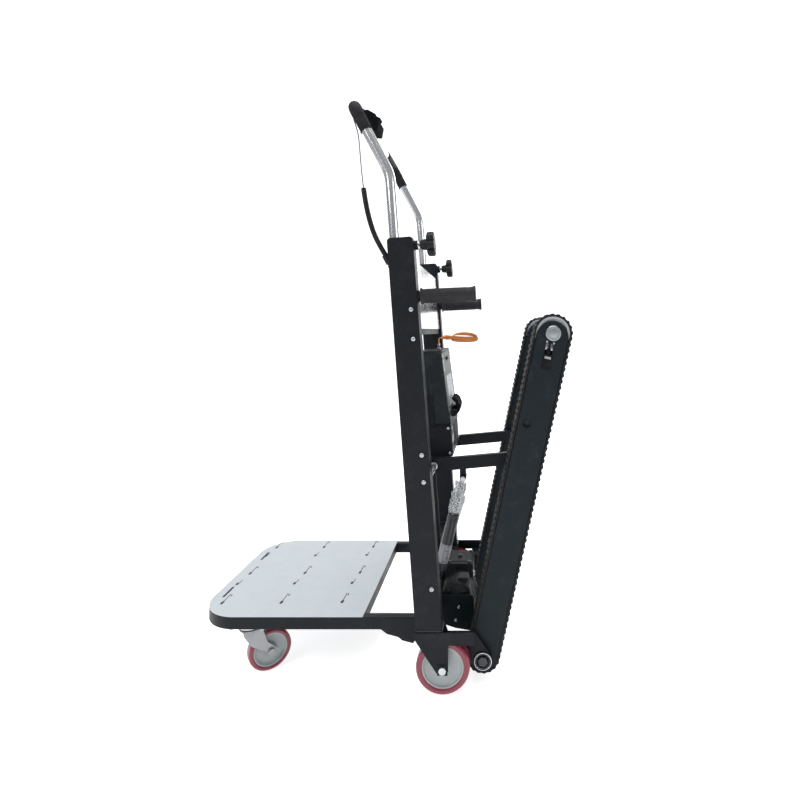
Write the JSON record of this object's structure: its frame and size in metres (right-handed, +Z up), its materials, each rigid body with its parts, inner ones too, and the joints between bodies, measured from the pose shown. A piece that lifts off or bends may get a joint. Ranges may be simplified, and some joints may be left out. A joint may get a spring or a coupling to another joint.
{
  "type": "stair climbing trolley",
  "caption": "Powered stair climbing trolley with a low load platform, a leaning twin mast, a sliding push handle and a pair of folding crawler tracks.",
  "frame": {"origin": "on the floor, under the middle of the whole trolley", "axes": "+X towards the operator (tracks), -X the load platform, +Z up, -Y the left side"},
  "size_m": [0.9014, 0.546, 1.3831],
  "materials": {
    "black_paint": "semi-gloss powder coat",
    "track_paint": "semi-gloss powder coat",
    "stainless": "fine brushed with a thin clear film",
    "bright_panel": "polished",
    "zinc": "zinc plated",
    "axle_steel": "turned",
    "gear_steel": "oiled",
    "pulley": "turned",
    "red_polyurethane": "satin",
    "hub_grey": "moulded",
    "belt_rubber": "moulded",
    "gearbox_cast": "cast",
    "motor_paint": "satin",
    "spring_paint": "satin",
    "chrome": "polished",
    "black_plastic": "fine grain",
    "gloss_black": "gloss",
    "grip_rubber": "satin",
    "grip_foam": "foam",
    "battery_plastic": "fine grain",
    "battery_grey": "fine grain",
    "cell_wrap": "shrink wrap",
    "circuit_board": "satin",
    "orange_webbing": "woven",
    "cable_black": "corrugated",
    "cable_grey": "satin"
  },
  "bodies": {
    "frame": {"platform_frame": "black_paint", "platform_plate": "stainless", "left_mast": "black_paint", "right_mast": "black_paint", "mast_cross_tubes": "black_paint", "rear_panel": "bright_panel", "guide_bushes": "black_plastic", "left_base_rail": "black_paint", "right_base_rail": "black_paint", "wheel_bolts": "zinc", "caster_top_plates": "zinc", "motor_gearbox": "gearbox_cast", "drive_motor": "motor_paint", "motor_guard": "track_paint", "pivot_bearings": "zinc", "arm_pivot_shaft": "zinc", "push_grips": "grip_rubber", "controller_box": "black_paint", "controller_board": "circuit_board", "battery_cradle": "black_paint", "frame_screws": "zinc", "cable_gland": "black_plastic", "control_conduit": "cable_black", "control_wire": "cable_grey"},
    "tracks": {"left_track_frame": "track_paint", "right_track_frame": "track_paint", "left_track_belt": "belt_rubber", "right_track_belt": "belt_rubber", "track_spreaders": "black_paint", "track_hardware": "zinc"},
    "left_idler": {"left_idler_pulley": "pulley"},
    "right_idler": {"right_idler_pulley": "pulley"},
    "drive_axle": {"drive_axle": "axle_steel", "axle_gear": "gear_steel"},
    "output_pinion": {"output_pinion": "gear_steel"},
    "link_arms": {"link_arms": "black_paint", "arm_shoes": "black_plastic"},
    "gas_cylinder": {"gas_spring_cylinder": "spring_paint"},
    "gas_rod": {"gas_spring_rod": "chrome"},
    "handle": {"handle_tube": "chrome", "handle_grips": "grip_foam", "control_pod": "black_plastic"},
    "rocker": {"drive_rocker": "gloss_black"},
    "left_knob": {"left_clamp_knob": "black_plastic"},
    "right_knob": {"right_clamp_knob": "black_plastic"},
    "left_caster": {"left_caster_fork": "zinc"},
    "right_caster": {"right_caster_fork": "zinc"},
    "left_caster_wheel": {"left_caster_tyre": "red_polyurethane", "left_caster_hub": "hub_grey"},
    "right_caster_wheel": {"right_caster_tyre": "red_polyurethane", "right_caster_hub": "hub_grey"},
    "left_rear_wheel": {"left_rear_tyre": "red_polyurethane", "left_rear_hub": "hub_grey"},
    "right_rear_wheel": {"right_rear_tyre": "red_polyurethane", "right_rear_hub": "hub_grey"},
    "battery": {"battery_case": "battery_plastic", "battery_cover": "battery_grey", "battery_cells": "cell_wrap", "pull_strap": "orange_webbing"},
    "bail": {"battery_bail": "black_plastic"}
  },
  "joints": [
    {"name": "track_fold", "type": "hinge", "parent": "frame", "child": "tracks", "pos_m": [0.235, 0, 0.057], "axis": [0, 1, 0], "range_deg": [-16, 0]},
    {"name": "link_arm_swing", "type": "hinge", "parent": "frame", "child": "link_arms", "pos_m": [0.11, 0, 0.49784], "axis": [0, 1, 0], "range_deg": [0, 66.45]},
    {"name": "gas_cylinder_tilt", "type": "hinge", "parent": "frame", "child": "gas_cylinder", "pos_m": [0.1192, -0.11, 0.2074], "axis": [0, 1, 0], "range_deg": [-17.32, 0]},
    {"name": "gas_rod_slide", "type": "slide", "parent": "gas_cylinder", "child": "gas_rod", "axis": [0.239, 0, 0.971], "range_m": [-0.052, 0]},
    {"name": "drive_axle_spin", "type": "hinge", "parent": "frame", "child": "drive_axle", "pos_m": [0.235, 0, 0.057], "axis": [0, 1, 0], "continuous": true},
    {"name": "pinion_spin", "type": "hinge", "parent": "frame", "child": "output_pinion", "pos_m": [0.175, 0, 0.10031], "axis": [0, 1, 0], "continuous": true},
    {"name": "handle_slide", "type": "slide", "parent": "frame", "child": "handle", "axis": [-0.0732, 0, 0.9973], "range_m": [-0.12, 0.1], "deforming": ["control_wire"]},
    {"name": "rocker_tilt", "type": "hinge", "parent": "handle", "child": "rocker", "pos_m": [-0.02729, -0.168, 1.35311], "axis": [0, 1, 0], "range_deg": [-12, 12], "stiffness_Nm_per_rad": 0.2},
    {"name": "battery_slide", "type": "slide", "parent": "frame", "child": "battery", "axis": [0.9973, 0, 0.0732], "range_m": [0, 0.1]},
    {"name": "bail_swing", "type": "hinge", "parent": "battery", "child": "bail", "pos_m": [0.15521, 0, 0.61547], "axis": [0, 1, 0], "range_deg": [0, 60], "stiffness_Nm_per_rad": 0.08, "springref_deg": -22.92},
    {"name": "left_idler_spin", "type": "hinge", "parent": "tracks", "child": "left_idler", "pos_m": [0.40297, -0.18, 0.82996], "axis": [0, 1, 0], "continuous": true},
    {"name": "left_knob_turn", "type": "hinge", "parent": "frame", "child": "left_knob", "pos_m": [0.1062, -0.242, 1.03701], "axis": [0.9973, 0, 0.0732], "range_deg": [0, 360]},
    {"name": "left_caster_swivel", "type": "hinge", "parent": "frame", "child": "left_caster", "pos_m": [-0.33, -0.185, 0.1], "axis": [0, 0, 1], "continuous": true},
    {"name": "left_caster_spin", "type": "hinge", "parent": "left_caster", "child": "left_caster_wheel", "pos_m": [-0.2969, -0.15914, 0.05], "axis": [0.6157, -0.788, 0], "continuous": true},
    {"name": "left_rear_wheel_spin", "type": "hinge", "parent": "frame", "child": "left_rear_wheel", "pos_m": [0.1435, -0.2425, 0.0625], "axis": [0, 1, 0], "continuous": true},
    {"name": "right_idler_spin", "type": "hinge", "parent": "tracks", "child": "right_idler", "pos_m": [0.40297, 0.18, 0.82996], "axis": [0, 1, 0], "continuous": true},
    {"name": "right_knob_turn", "type": "hinge", "parent": "frame", "child": "right_knob", "pos_m": [0.1062, 0.242, 1.03701], "axis": [0.9973, 0, 0.0732], "range_deg": [0, 360]},
    {"name": "right_caster_swivel", "type": "hinge", "parent": "frame", "child": "right_caster", "pos_m": [-0.33, 0.185, 0.1], "axis": [0, 0, 1], "continuous": true},
    {"name": "right_caster_spin", "type": "hinge", "parent": "right_caster", "child": "right_caster_wheel", "pos_m": [-0.2969, 0.15914, 0.05], "axis": [-0.6157, -0.788, 0], "continuous": true},
    {"name": "right_rear_wheel_spin", "type": "hinge", "parent": "frame", "child": "right_rear_wheel", "pos_m": [0.1435, 0.2425, 0.0625], "axis": [0, 1, 0], "continuous": true}
  ],
  "couplings": [
    {"joint": "link_arm_swing", "follows": "track_fold", "ratio": -4.151},
    {"joint": "gas_cylinder_tilt", "follows": "track_fold", "ratio": 1.082},
    {"joint": "gas_rod_slide", "follows": "track_fold", "m_per_rad": 0.18612},
    {"joint": "pinion_spin", "follows": "drive_axle_spin", "ratio": -1.0556},
    {"joint": "left_idler_spin", "follows": "drive_axle_spin", "ratio": 0.83047},
    {"joint": "right_idler_spin", "follows": "drive_axle_spin", "ratio": 0.83047}
  ]
}
